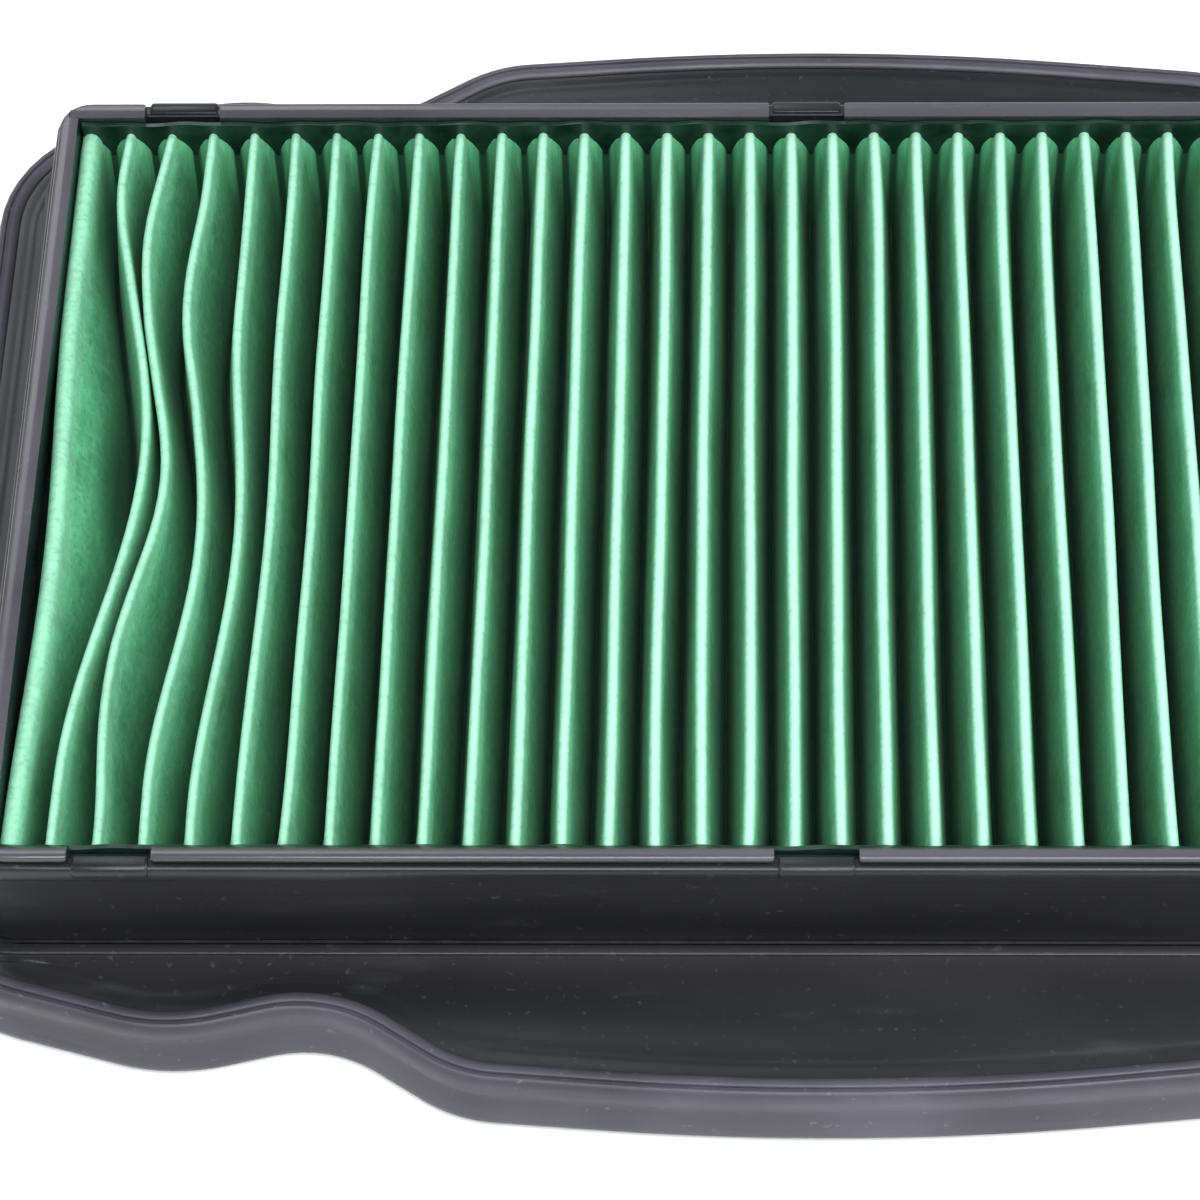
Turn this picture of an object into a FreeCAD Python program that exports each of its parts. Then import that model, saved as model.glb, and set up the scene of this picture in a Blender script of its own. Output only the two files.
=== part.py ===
"""Panel air filter element for a motorcycle: pleated viscous paper in a moulded frame.

Millimetres, +Z up. The origin is the middle of the footprint, on the surface that the
seal rests on. X runs along the long side, -Y is the front and +Y is the rear.
"""
import FreeCAD, Part
import math
import os

Vector = FreeCAD.Vector

# ---- driving dimensions -------------------------------------------------------------
PLEAT_PITCH = 5.9            # crest to crest
PLEAT_COUNT = 34             # free crests between the two end leaves
PAPER = 0.5                  # paper thickness
FOLD_WIDTH = 1.6             # width of a folded crest
CREST_Z = 27.0               # top of the crests
VALLEY_Z = 6.8               # underside of the valleys
PLEAT_HALF_Y = 54.8          # half length of the straight pleats

FRAME_HALF_X = 107.0         # outer half length of the frame at its top
FRAME_HALF_Y = 61.9          # outer half width of the frame at its top
FRAME_DRAFT = 1.4            # how much wider the frame is at its foot, each side
FRAME_TOP_Z = 28.0
FRAME_CORNER = 5.0
CAVITY_HALF_X = 105.2        # inner faces of the frame and of the well below it
CAVITY_HALF_Y = 59.9
CAVITY_CORNER = 1.0

PLATE_TOP_Z = 11.2           # top of the wavy flange plate, where the frame stands
PLATE_THICKNESS = 2.2
WELL_WALL = 2.0
WELL_BOTTOM_Z = 1.0
SKIRT_INSET = 1.8            # from the outer edge of the seal to the plastic skirt
SKIRT_WALL = 2.0
SKIRT_BOTTOM_Z = 1.8
RIB_WALL = 1.6
RIB_BOTTOM_Z = 6.0
CROSS_RIBS_X = (-84.0, -40.0, 0.0, 40.0, 84.0)
LONG_RIBS_Y = (-36.0, 0.0, 36.0)
RIB_REACH = 120.0            # past the skirt, which trims the ribs
KERB_GAP = 0.5               # glue groove between the frame's foot and the kerb
KERB_WIDTH = 1.5
KERB_HEIGHT = 0.9

SEAL_TOP_Z = 11.9
SEAL_LIP = 3.1               # how far the rubber reaches in over the plate
SEAL_FOOT = 4.4              # how far it reaches in below the skirt
SEAL_CLEARANCE = 0.05
SEAL_TOP_RADIUS = 1.1
SEAL_BOTTOM_RADIUS = 1.4
SEAL_GROOVE_INSET = 1.2      # shallow groove between the outer shoulder and the bead
SEAL_GROOVE = 0.4

RAIL_TOP_Z = 29.5
RAIL_BOTTOM_Z = 22.0
RAIL_LEG = 1.3
RAIL_LIP = 1.25              # overhang of the rail's lip over the frame's top
RAIL_LIP_THICKNESS = 1.0
NOTCH_WIDTH = 10.6           # gaps in the lips of the long rails
NOTCH_BOTTOM_Z = 26.4
NOTCH_PLACES = (-89.0, 0.0, 89.0)
CLIP_SIDE_GAP = 0.5          # between a clip and the ends of its notch
CLIP_TONGUE = 0.8
CLIP_HOOK = 0.7
CLIP_HOOK_LENGTH = 2.5

GRID_BOTTOM_Z = 4.4
GRID_TOP_Z = 6.5
GRID_RIM = 2.4
GRID_BAR = 2.0
LONG_BARS = 3
CROSS_BARS = 9
CROSS_BAR_RECESS = 0.4       # how much shallower the cross bars are below
LEDGE_WIDTH = 1.5
LEDGE_THICKNESS = 1.3
LEDGE_ROOT = 0.5             # how far the ledge runs into the well's wall

COMB_DEPTH = 5.2             # the glued ends' valleys below their crests
GLUE_LIFT = 0.8              # the adhesive's underside above the valleys
BEAD_FOOT = 2.6              # thickness of an end bead at its foot
BEAD_HEAD = 1.3              # and at its top

FIT = 0.1                    # clearance between glued pieces

# Corners of the rear half of the outer edge, from right to left, each with its rounding
# radius: side, small wave, dip, shoulder of the lobe, the lobe's top, and back down.
EDGE_CORNERS = [
    (117.6, 68.0, 19.0),
    (93.5, 76.0, 20.0),
    (76.8, 72.4, 18.0),
    (61.6, 81.6, 20.0),
    (4.8, 87.0, 388.0),
    (-46.0, 83.2, 20.0),
    (-62.8, 72.4, 18.0),
    (-83.2, 77.3, 28.0),
    (-117.6, 68.0, 19.0),
]


def box(low, high):
    """Box between two corners."""
    size = [high[i] - low[i] for i in range(3)]
    return Part.makeBox(size[0], size[1], size[2], Vector(*low))


def rounded_wire(corners, z):
    """Closed wire of straight runs joined by tangent arcs; corners are (x, y, radius)."""
    count = len(corners)
    arcs = []
    for i in range(count):
        x, y, radius = corners[i]
        point = Vector(x, y, z)
        before = corners[i - 1]
        after = corners[(i + 1) % count]
        to_before = (Vector(before[0], before[1], z) - point).normalize()
        to_after = (Vector(after[0], after[1], z) - point).normalize()
        half = to_before.getAngle(to_after) / 2
        reach = radius / math.tan(half)
        middle = (to_before + to_after).normalize()
        tip = point + middle * (radius / math.sin(half) - radius)
        arcs.append((point + to_before * reach, tip, point + to_after * reach))
    edges = []
    for i in range(count):
        start, tip, end = arcs[i]
        edges.append(Part.Arc(start, tip, end).toShape())
        edges.append(Part.LineSegment(end, arcs[(i + 1) % count][0]).toShape())
    return Part.Wire(edges)


def edge_wire(inset, z):
    """The wavy outer edge of the element, moved inwards by inset."""
    front_half = [(x, -y, radius) for x, y, radius in reversed(EDGE_CORNERS)]
    wire = rounded_wire(EDGE_CORNERS + front_half, z)
    if inset == 0:
        return wire
    return wire.makeOffset2D(-inset)


def edge_prism(inset, bottom, top):
    """Solid inside the wavy edge between two heights."""
    return Part.Face(edge_wire(inset, bottom)).extrude(Vector(0, 0, top - bottom))


def edge_ring(outer_inset, inner_inset, bottom, top):
    """Ring that follows the wavy edge."""
    return edge_prism(outer_inset, bottom, top).cut(edge_prism(inner_inset, bottom, top))


def rectangle_wire(half_x, half_y, radius, z):
    """Rounded rectangle about the origin."""
    corners = [(half_x, -half_y, radius), (half_x, half_y, radius),
               (-half_x, half_y, radius), (-half_x, -half_y, radius)]
    return rounded_wire(corners, z)


def rectangle_ring(half_x, half_y, wall, radius, bottom, top):
    """Rounded rectangular ring; wall is measured inwards from the half sizes."""
    rise = Vector(0, 0, top - bottom)
    outer = Part.Face(rectangle_wire(half_x, half_y, radius, bottom)).extrude(rise)
    inner_radius = max(radius - wall, 0.5)
    inner = Part.Face(rectangle_wire(half_x - wall, half_y - wall, inner_radius, bottom))
    return outer.cut(inner.extrude(rise))


def cavity(bottom, top):
    """The straight-sided space that holds the pleats."""
    face = Part.Face(rectangle_wire(CAVITY_HALF_X, CAVITY_HALF_Y, CAVITY_CORNER, bottom))
    return face.extrude(Vector(0, 0, top - bottom))


def underside_ribs():
    """Stiffening ribs under the plate, between the well and the skirt."""
    top = PLATE_TOP_Z - PLATE_THICKNESS / 2
    ribs = []
    half = RIB_WALL / 2
    for x in CROSS_RIBS_X:
        ribs.append(box((x - half, -RIB_REACH, RIB_BOTTOM_Z), (x + half, RIB_REACH, top)))
    for y in LONG_RIBS_Y:
        ribs.append(box((-RIB_REACH, y - half, RIB_BOTTOM_Z), (RIB_REACH, y + half, top)))
    inside_skirt = edge_prism(SKIRT_INSET + SKIRT_WALL / 2, 0.0, top)
    well = cavity(0.0, top)
    return [rib.common(inside_skirt).cut(well) for rib in ribs]


def base_flange():
    """Wavy lower moulding: plate, outer skirt, well for the pleats, ribs and kerb."""
    plate_bottom = PLATE_TOP_Z - PLATE_THICKNESS
    plate = edge_prism(SKIRT_INSET, plate_bottom, PLATE_TOP_Z)
    plate = plate.cut(cavity(plate_bottom, PLATE_TOP_Z))
    skirt = edge_ring(SKIRT_INSET, SKIRT_INSET + SKIRT_WALL, SKIRT_BOTTOM_Z, plate_bottom)
    well = rectangle_ring(CAVITY_HALF_X + WELL_WALL, CAVITY_HALF_Y + WELL_WALL, WELL_WALL,
                          WELL_WALL + CAVITY_CORNER, WELL_BOTTOM_Z, plate_bottom)
    ledge_top = GRID_BOTTOM_Z
    ledge = rectangle_ring(CAVITY_HALF_X + LEDGE_ROOT, CAVITY_HALF_Y + LEDGE_ROOT,
                           LEDGE_WIDTH + LEDGE_ROOT, CAVITY_CORNER,
                           ledge_top - LEDGE_THICKNESS, ledge_top)
    foot_x = FRAME_HALF_X + FRAME_DRAFT + KERB_GAP + KERB_WIDTH
    foot_y = FRAME_HALF_Y + FRAME_DRAFT + KERB_GAP + KERB_WIDTH
    kerb = rectangle_ring(foot_x, foot_y, KERB_WIDTH, FRAME_CORNER + KERB_WIDTH,
                          PLATE_TOP_Z, PLATE_TOP_Z + KERB_HEIGHT)
    body = plate.multiFuse([skirt, well, ledge, kerb] + underside_ribs())
    return body.removeSplitter()


def pleat_frame():
    """Tapered wall that stands on the flange around the pleats."""
    foot = rectangle_wire(FRAME_HALF_X + FRAME_DRAFT, FRAME_HALF_Y + FRAME_DRAFT,
                          FRAME_CORNER, PLATE_TOP_Z)
    top = rectangle_wire(FRAME_HALF_X, FRAME_HALF_Y, FRAME_CORNER, FRAME_TOP_Z)
    block = Part.makeLoft([foot, top], True, True)
    return block.cut(cavity(PLATE_TOP_Z - 1.0, FRAME_TOP_Z + 1.0))


def joint_sealant():
    """Glue line in the groove between the frame's foot and the kerb."""
    bottom = PLATE_TOP_Z
    width = KERB_GAP - FIT
    outer_x = FRAME_HALF_X + FRAME_DRAFT + KERB_GAP - FIT / 2
    outer_y = FRAME_HALF_Y + FRAME_DRAFT + KERB_GAP - FIT / 2
    return rectangle_ring(outer_x, outer_y, width, FRAME_CORNER + width / 2,
                          bottom, bottom + KERB_HEIGHT / 2)


def lip_plan():
    """Everything inside the outer edge of the rails' lips, rounded as the frame is."""
    corner = FRAME_CORNER - (FRAME_HALF_X - CAVITY_HALF_X + FIT - RAIL_LIP)
    edge = rectangle_wire(CAVITY_HALF_X - FIT + RAIL_LIP, CAVITY_HALF_Y - FIT + RAIL_LIP,
                          corner, RAIL_BOTTOM_Z)
    return Part.Face(edge).extrude(Vector(0, 0, RAIL_TOP_Z - RAIL_BOTTOM_Z))


def long_rail(side):
    """Rail along the front (side -1) or rear (side 1) edge, its lip broken by notches."""
    half = CAVITY_HALF_X - FIT
    outer = CAVITY_HALF_Y - FIT
    leg = box((-half, outer - RAIL_LEG, RAIL_BOTTOM_Z), (half, outer, RAIL_TOP_Z))
    lip_low = RAIL_TOP_Z - RAIL_LIP_THICKNESS
    lip = box((-half - RAIL_LIP, outer, lip_low), (half + RAIL_LIP, outer + RAIL_LIP, RAIL_TOP_Z))
    rail = leg.fuse(lip.common(lip_plan()))
    for x in NOTCH_PLACES:
        notch = box((x - NOTCH_WIDTH / 2, outer - 2 * RAIL_LEG, NOTCH_BOTTOM_Z),
                    (x + NOTCH_WIDTH / 2, outer + 2 * RAIL_LIP, RAIL_TOP_Z + 1.0))
        rail = rail.cut(notch)
    rail = rail.removeSplitter()
    if side < 0:
        rail = rail.mirror(Vector(0, 0, 0), Vector(0, 1, 0))
    return rail


def end_rail(side):
    """Rail along the left (side -1) or right (side 1) edge, between the long rails."""
    outer = CAVITY_HALF_X - FIT
    half = CAVITY_HALF_Y - FIT - RAIL_LEG - FIT
    lip_half = CAVITY_HALF_Y - 2 * FIT
    leg = box((outer - RAIL_LEG, -half, RAIL_BOTTOM_Z), (outer, half, RAIL_TOP_Z))
    lip_low = RAIL_TOP_Z - RAIL_LIP_THICKNESS
    lip = box((outer + FIT / 2, -lip_half, lip_low), (outer + RAIL_LIP, lip_half, RAIL_TOP_Z))
    lip = lip.common(lip_plan())
    bridge = box((outer, -half, lip_low), (outer + FIT, half, RAIL_TOP_Z))
    rail = leg.multiFuse([bridge, lip]).removeSplitter()
    if side < 0:
        rail = rail.mirror(Vector(0, 0, 0), Vector(1, 0, 0))
    return rail


def rail_clips(side):
    """Three snap tongues that hold a long rail, hooked over the frame's top."""
    width = NOTCH_WIDTH - 2 * CLIP_SIDE_GAP
    inner = CAVITY_HALF_Y + FIT
    hook_inner = FRAME_HALF_Y + FRAME_DRAFT / 4
    hook_outer = hook_inner + CLIP_HOOK
    clips = []
    for x in NOTCH_PLACES:
        tongue = box((x - width / 2, inner, FRAME_TOP_Z),
                     (x + width / 2, hook_outer, FRAME_TOP_Z + CLIP_TONGUE))
        hook = box((x - width / 2, hook_inner, FRAME_TOP_Z - CLIP_HOOK_LENGTH),
                   (x + width / 2, hook_outer, FRAME_TOP_Z))
        clips.append(tongue.fuse(hook).removeSplitter())
    group = Part.makeCompound(clips)
    if side < 0:
        group = group.mirror(Vector(0, 0, 0), Vector(0, 1, 0))
    return group


def crest_places():
    """X of every free crest."""
    first = -PLEAT_PITCH * (PLEAT_COUNT - 1) / 2
    return [first + PLEAT_PITCH * i for i in range(PLEAT_COUNT)]


def pleated_media():
    """The folded paper: one strip from the left end leaf to the right end leaf."""
    half_fold = FOLD_WIDTH / 2
    crests = crest_places()
    end_x = CAVITY_HALF_X - RAIL_LEG - FIT - 2 * PAPER
    upper = [(-end_x, CREST_Z)]
    lower = [(-end_x - PAPER, CREST_Z)]
    for x in crests:
        valley = x - PLEAT_PITCH / 2
        upper += [(valley - half_fold + PAPER, VALLEY_Z + PAPER),
                  (valley + half_fold - PAPER, VALLEY_Z + PAPER),
                  (x - half_fold, CREST_Z), (x + half_fold, CREST_Z)]
        lower += [(valley - half_fold, VALLEY_Z), (valley + half_fold, VALLEY_Z),
                  (x - half_fold + PAPER, CREST_Z - PAPER),
                  (x + half_fold - PAPER, CREST_Z - PAPER)]
    valley = crests[-1] + PLEAT_PITCH / 2
    upper += [(valley - half_fold + PAPER, VALLEY_Z + PAPER),
              (valley + half_fold - PAPER, VALLEY_Z + PAPER), (end_x, CREST_Z)]
    lower += [(valley - half_fold, VALLEY_Z), (valley + half_fold, VALLEY_Z),
              (end_x + PAPER, CREST_Z)]
    outline = upper + list(reversed(lower))
    points = [Vector(x, -PLEAT_HALF_Y, z) for x, z in outline]
    face = Part.Face(Part.makePolygon(points + points[:1]))
    return face.extrude(Vector(0, 2 * PLEAT_HALF_Y, 0))


def end_comb(side):
    """Adhesive comb that closes the pleat ends at the front (-1) or the rear (1)."""
    crest_z = CREST_Z - PAPER
    valley_z = crest_z - COMB_DEPTH
    bottom_z = VALLEY_Z + GLUE_LIFT
    half_x = CAVITY_HALF_X - RAIL_LEG - 2 * FIT
    inner = PLEAT_HALF_Y + FIT
    outer = CAVITY_HALF_Y - FIT - RAIL_LEG - FIT
    points = [Vector(-half_x, inner, bottom_z), Vector(-half_x, inner, crest_z)]
    for x in crest_places():
        points.append(Vector(x - PLEAT_PITCH / 2, inner, valley_z))
        points.append(Vector(x, inner, crest_z))
    points.append(Vector(half_x - FOLD_WIDTH, inner, valley_z))
    points.append(Vector(half_x, inner, crest_z))
    points.append(Vector(half_x, inner, bottom_z))
    face = Part.Face(Part.makePolygon(points + points[:1]))
    comb = face.extrude(Vector(0, outer - inner, 0))
    if side < 0:
        comb = comb.mirror(Vector(0, 0, 0), Vector(0, 1, 0))
    return comb


def end_bead(side):
    """Wedge of adhesive that fixes the end leaf to the frame wall."""
    wall_x = CAVITY_HALF_X - FIT
    low_z = VALLEY_Z + GLUE_LIFT
    high_z = RAIL_BOTTOM_Z - FIT
    outline = [(wall_x, low_z), (wall_x - BEAD_FOOT, low_z), (wall_x - BEAD_HEAD, high_z), (wall_x, high_z)]
    points = [Vector(side * x, -PLEAT_HALF_Y, z) for x, z in outline]
    face = Part.Face(Part.makePolygon(points + points[:1]))
    return face.extrude(Vector(0, 2 * PLEAT_HALF_Y, 0))


def support_grid():
    """Clean-side grille that the valleys rest on: a rim, long bars and cross bars."""
    half_x = CAVITY_HALF_X - FIT
    half_y = CAVITY_HALF_Y - FIT
    rim = rectangle_ring(half_x, half_y, GRID_RIM, CAVITY_CORNER, GRID_BOTTOM_Z, GRID_TOP_Z)
    bars = []
    reach_x = half_x - GRID_RIM / 2
    reach_y = half_y - GRID_RIM / 2
    long_bar_gap = 2 * half_y / (LONG_BARS + 1)
    for i in range(1, LONG_BARS + 1):
        y = i * long_bar_gap - half_y
        bars.append(box((-reach_x, y - GRID_BAR / 2, GRID_BOTTOM_Z),
                        (reach_x, y + GRID_BAR / 2, GRID_TOP_Z)))
    cross_bar_gap = 2 * half_x / (CROSS_BARS + 1)
    for i in range(1, CROSS_BARS + 1):
        x = i * cross_bar_gap - half_x
        bars.append(box((x - GRID_BAR / 2, -reach_y, GRID_BOTTOM_Z + CROSS_BAR_RECESS),
                        (x + GRID_BAR / 2, reach_y, GRID_TOP_Z)))
    return rim.multiFuse(bars).removeSplitter()


def seal_edges(solid, z, inset_test):
    """Edges of the seal that lie flat at height z and on the outer side of inset_test."""
    limit = edge_prism(inset_test, z - 0.01, z + 0.01)
    chosen = []
    for edge in solid.Edges:
        middle = edge.valueAt((edge.FirstParameter + edge.LastParameter) / 2)
        flat = abs(edge.BoundBox.ZMax - z) < 1e-6 and abs(edge.BoundBox.ZMin - z) < 1e-6
        if flat and not limit.isInside(middle, 1e-6, True):
            chosen.append(edge)
    return chosen


def edge_seal():
    """Rubber channel stretched over the flange's edge, with a rounded bead on top."""
    gap = SEAL_CLEARANCE
    band = edge_ring(0, SKIRT_INSET - gap, 0.0, SEAL_TOP_Z)
    lip = edge_ring(SKIRT_INSET - 2 * gap, SEAL_LIP, PLATE_TOP_Z + gap, SEAL_TOP_Z)
    foot = edge_ring(SKIRT_INSET - 2 * gap, SEAL_FOOT, 0.0, SKIRT_BOTTOM_Z - gap)
    groove = edge_ring(SEAL_GROOVE_INSET, SEAL_GROOVE_INSET + SEAL_GROOVE,
                       SEAL_TOP_Z - SEAL_GROOVE, SEAL_TOP_Z + SEAL_GROOVE)
    seal = band.multiFuse([lip, foot]).removeSplitter()
    seal = seal.makeFillet(SEAL_BOTTOM_RADIUS, seal_edges(seal, 0.0, SKIRT_INSET))
    seal = seal.makeFillet(SEAL_TOP_RADIUS, seal_edges(seal, SEAL_TOP_Z, SKIRT_INSET))
    return seal.cut(groove)


def build():
    """Every piece of the element, by node name."""
    return {
        "base_flange": base_flange(),
        "pleat_frame": pleat_frame(),
        "joint_sealant": joint_sealant(),
        "edge_seal": edge_seal(),
        "front_rail": long_rail(-1),
        "rear_rail": long_rail(1),
        "left_rail": end_rail(-1),
        "right_rail": end_rail(1),
        "front_rail_clips": rail_clips(-1),
        "rear_rail_clips": rail_clips(1),
        "pleated_media": pleated_media(),
        "front_end_comb": end_comb(-1),
        "rear_end_comb": end_comb(1),
        "left_end_bead": end_bead(-1),
        "right_end_bead": end_bead(1),
        "support_grid": support_grid(),
    }


os.makedirs("parts", exist_ok=True)
for name, shape in build().items():
    shape.exportStep("parts/" + name + ".step")
    box_of_shape = shape.BoundBox
    print("%-18s valid=%s solids=%d volume=%.0f z=%.2f..%.2f" % (
        name, shape.isValid(), len(shape.Solids), shape.Volume, box_of_shape.ZMin, box_of_shape.ZMax))
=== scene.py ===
"""Looks of a pleated panel air filter element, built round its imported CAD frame.

Lengths are metres in the CAD frame: X along the long side, +Y to the rear, +Z up. Sizes
that the design names are written in millimetres and turned into metres by MM.
"""
import logging
import math
import random
from dataclasses import dataclass, field
from enum import Enum

import bmesh
import bpy
import numpy as np
from mathutils import Matrix, Vector


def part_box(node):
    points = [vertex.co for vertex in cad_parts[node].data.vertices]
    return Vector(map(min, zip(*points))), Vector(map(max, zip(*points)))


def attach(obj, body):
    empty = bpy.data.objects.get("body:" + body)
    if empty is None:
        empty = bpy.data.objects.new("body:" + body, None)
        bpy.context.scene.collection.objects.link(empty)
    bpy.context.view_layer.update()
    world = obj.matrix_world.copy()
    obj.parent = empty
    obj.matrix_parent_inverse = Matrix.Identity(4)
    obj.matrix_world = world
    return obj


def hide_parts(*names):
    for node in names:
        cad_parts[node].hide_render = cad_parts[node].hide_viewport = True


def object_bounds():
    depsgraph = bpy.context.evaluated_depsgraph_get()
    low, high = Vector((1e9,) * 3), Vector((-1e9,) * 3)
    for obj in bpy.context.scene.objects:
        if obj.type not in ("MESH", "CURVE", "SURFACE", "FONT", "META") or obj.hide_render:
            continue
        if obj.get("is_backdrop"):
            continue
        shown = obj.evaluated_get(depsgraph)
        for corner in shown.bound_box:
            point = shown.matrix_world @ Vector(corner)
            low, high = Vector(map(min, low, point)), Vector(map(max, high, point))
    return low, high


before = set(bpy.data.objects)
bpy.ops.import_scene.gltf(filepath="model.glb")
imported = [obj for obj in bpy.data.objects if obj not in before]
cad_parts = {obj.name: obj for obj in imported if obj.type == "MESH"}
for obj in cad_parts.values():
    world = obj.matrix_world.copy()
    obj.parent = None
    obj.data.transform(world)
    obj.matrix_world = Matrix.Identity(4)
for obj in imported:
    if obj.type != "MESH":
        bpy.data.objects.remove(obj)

LOG = logging.getLogger("air_filter")
MM = 0.001
BODY = "root"
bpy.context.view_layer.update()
NOTCH_SPACING = 89.0
SIDES = {"front": -1, "rear": 1}
ENDS = {"left": -1, "right": 1}
Socket = bpy.types.NodeSocket
Feed = float | tuple[float, ...] | Socket
Section = list[tuple[float, float]]


class Slot(Enum):
    """Names of the material slots."""

    SHELL = "shell_plastic"
    RAIL = "rail_plastic"
    GRID = "grid_plastic"
    SEAL = "seal_rubber"
    PAPER = "filter_paper"
    GLUE = "adhesive"


# ---- modelling helpers --------------------------------------------------------------


def deselect_all() -> None:
    """Go to object mode with nothing selected."""
    if bpy.context.object and bpy.context.object.mode != "OBJECT":
        bpy.ops.object.mode_set(mode="OBJECT")
    bpy.ops.object.select_all(action="DESELECT")


def select_only(piece: bpy.types.Object) -> None:
    """Select one piece and make it the active one.

    Args:
        piece: the piece.
    """
    deselect_all()
    piece.select_set(True)
    bpy.context.view_layer.objects.active = piece


def name_active(name: str) -> bpy.types.Object:
    """Name the primitive that was just added and put its place into its mesh.

    Args:
        name: the piece's name.

    Returns:
        The piece.
    """
    piece = bpy.context.active_object
    piece.name = name
    piece.data.name = name
    bpy.ops.object.transform_apply(location=True, rotation=True, scale=True)
    return piece


def smooth(piece: bpy.types.Object, degrees: float = 40.0) -> None:
    """Shade a piece smooth, apart from edges sharper than an angle."""
    select_only(piece)
    bpy.ops.object.shade_smooth_by_angle(angle=math.radians(degrees))


def apply_modifiers(piece: bpy.types.Object) -> None:
    """Apply every modifier of a piece, in order.

    Args:
        piece: the piece.
    """
    select_only(piece)
    for modifier in list(piece.modifiers):
        bpy.ops.object.modifier_apply(modifier=modifier.name)


def wear(piece: bpy.types.Object, finish: "Finish") -> None:
    """Give a piece a finish in place of any that it has."""
    piece.data.materials.clear()
    piece.data.materials.append(finish.material())


def finish_piece(piece: bpy.types.Object, finish: "Finish", nodes: list[str]) -> None:
    """Dress a finished piece and tie it to the frame.

    Args:
        piece: the piece.
        finish: the finish that it wears.
        nodes: the CAD nodes that it stands for, which may be none.
    """
    wear(piece, finish)
    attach(piece, BODY)
    if nodes:
        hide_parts(*nodes)
    LOG.info("%s: %d faces", piece.name, len(piece.data.polygons))


# ---- finishes -----------------------------------------------------------------------


class Graph:
    """One material's node tree, with short ways to add and join nodes."""

    def __init__(self, name: str) -> None:
        """Start a material that holds only a Principled shader and its output.

        Args:
            name: the material's name.
        """
        self.material = bpy.data.materials.new(name)
        self.material.use_nodes = True
        self.tree = self.material.node_tree
        self.shader = self.tree.nodes["Principled BSDF"]
        self.place = self.tree.nodes.new("ShaderNodeTexCoord").outputs["Object"]

    def add(self, kind: str, inputs: dict[str | int, Feed], output: str | int = 0,
            **settings: str | int) -> Socket:
        """Add a node.

        Args:
            kind: the node's type.
            inputs: what goes into each socket, a value or another node's output.
            output: the output to return.
            settings: the node's own properties.

        Returns:
            The chosen output socket.
        """
        node = self.tree.nodes.new(kind)
        for key, value in settings.items():
            setattr(node, key, value)
        for key, value in inputs.items():
            self.feed(node.inputs[key], value)
        return node.outputs[output]

    def feed(self, socket: Socket, value: Feed) -> None:
        """Link an output to a socket, or set the socket's value.

        Args:
            socket: the input to feed.
            value: the output to link, or the value to set.
        """
        if isinstance(value, Socket):
            self.tree.links.new(value, socket)
        else:
            socket.default_value = value

    def noise(self, size: float, detail: float = 4.0, place: Socket | None = None,
              stretch: tuple[float, float, float] = (1, 1, 1)) -> Socket:
        """Add noise from 0 to 1.

        Args:
            size: about how large its features are, in metres.
            detail: how many finer layers it has.
            place: the coordinates that it is spread over, the piece's own where None.
            stretch: how much denser it is along each axis.

        Returns:
            The noise.
        """
        scaled = self.add("ShaderNodeMapping", {"Vector": place or self.place, "Scale": stretch})
        return self.add("ShaderNodeTexNoise",
                        {"Vector": scaled, "Scale": 1.0 / size, "Detail": detail}, "Fac")

    def ramp(self, value: Feed, low: float, high: float, start: float = 0.0,
             end: float = 1.0) -> Socket:
        """Map value from low..high to start..end, and hold it there."""
        return self.add("ShaderNodeMapRange", {"Value": value, "From Min": low, "From Max": high,
                                               "To Min": start, "To Max": end})

    def mix(self, share: Feed, first: Feed, second: Feed) -> Socket:
        """Mix two colours.

        Args:
            share: how much of the second colour, from 0 to 1.
            first: the first colour.
            second: the second colour.

        Returns:
            The mixed colour.
        """
        node = self.tree.nodes.new("ShaderNodeMix")
        node.data_type = "RGBA"
        for number, value in ((0, share), (6, first), (7, second)):
            self.feed(node.inputs[number], value)
        return node.outputs[2]

    def math(self, operation: str, first: Feed, second: Feed) -> Socket:
        """Arithmetic on two values."""
        return self.add("ShaderNodeMath", {0: first, 1: second}, operation=operation)

    def bump(self, height: Socket, distance: float, under: Socket | None = None) -> Socket:
        """Bump a surface.

        Args:
            height: the relief, from 0 to 1.
            distance: the depth in metres that the relief stands for.
            under: the bumps that these are added to, if any.

        Returns:
            The bumped normal.
        """
        inputs = {"Height": height, "Distance": distance}
        if under is not None:
            inputs["Normal"] = under
        return self.add("ShaderNodeBump", inputs, "Normal")

    def shade(self, inputs: dict[str, Feed]) -> bpy.types.Material:
        """Feed the shader's sockets.

        Args:
            inputs: what goes into each socket.

        Returns:
            The finished material.
        """
        for key, value in inputs.items():
            self.feed(self.shader.inputs[key], value)
        return self.material


def rgba(red: float, green: float, blue: float) -> tuple[float, float, float, float]:
    """An opaque linear colour."""
    return (red, green, blue, 1.0)


DUSTY = rgba(0.16, 0.155, 0.15)
SCUFFED = rgba(0.10, 0.10, 0.105)
# Edge colour: partly rubbed wear, partly painted highlight.
RUBBED_AND_HIGHLIGHT = rgba(0.09, 0.09, 0.095)
# Greenish painted shade, put on the rails below their lip's top.
PAINTED_LEG_SHADE = rgba(0.005, 0.019, 0.014)
BLOOMED_DUST = rgba(0.22, 0.21, 0.21)


@dataclass(frozen=True)
class Finish:
    """A finish that is built once and shared by the pieces that wear it."""

    name: str

    def material(self) -> bpy.types.Material:
        """Return the finish's material, made on first use."""
        made = bpy.data.materials.get(self.name)
        return made or self.build()

    def build(self) -> bpy.types.Material:
        """Build the material."""
        raise NotImplementedError


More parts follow.
